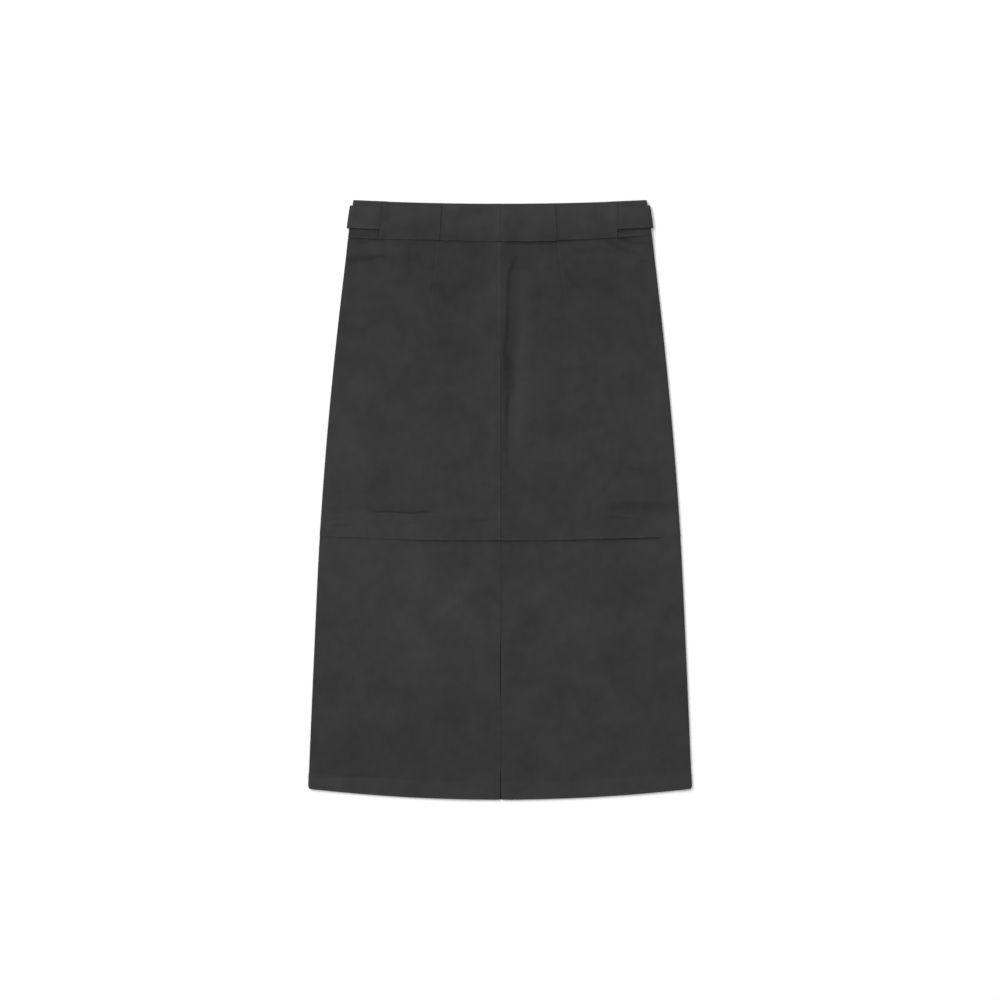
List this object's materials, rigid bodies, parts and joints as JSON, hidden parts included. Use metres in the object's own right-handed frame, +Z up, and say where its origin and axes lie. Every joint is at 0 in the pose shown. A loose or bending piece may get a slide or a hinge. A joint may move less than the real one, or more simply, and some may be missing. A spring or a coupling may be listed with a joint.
{
  "type": "a-line midi skirt",
  "caption": "Midi A-line skirt of washed charcoal twill, laid flat, with a waistband, side tabs, darts, a knee seam, a centre seam and a hem vent.",
  "frame": {"origin": "on the surface that the skirt lies on, under the middle of its outline", "axes": "+Y from the hem to the waist, +X across the skirt, +Z up from the surface through its two layers"},
  "size_m": [0.4808, 0.7518, 0.0087],
  "materials": {
    "twill": "washed charcoal cotton twill, matt, with a faint mottling and slightly paler seam edges",
    "thread": "matt spun topstitching thread in the cloth's colour"
  },
  "bodies": {
    "root": {"back_upper_left": "twill", "back_upper_right": "twill", "back_lower_left": "twill", "back_lower_right": "twill", "front_upper": "twill", "front_lower": "twill", "waistband_back_outer_left": "twill", "waistband_back_inner_left": "twill", "waistband_back_inner_right": "twill", "waistband_back_outer_right": "twill", "waistband_front": "twill", "waistband_side_left": "twill", "waistband_side_right": "twill", "side_tab_left": "twill", "side_tab_right": "twill"}
  },
  "joints": []
}
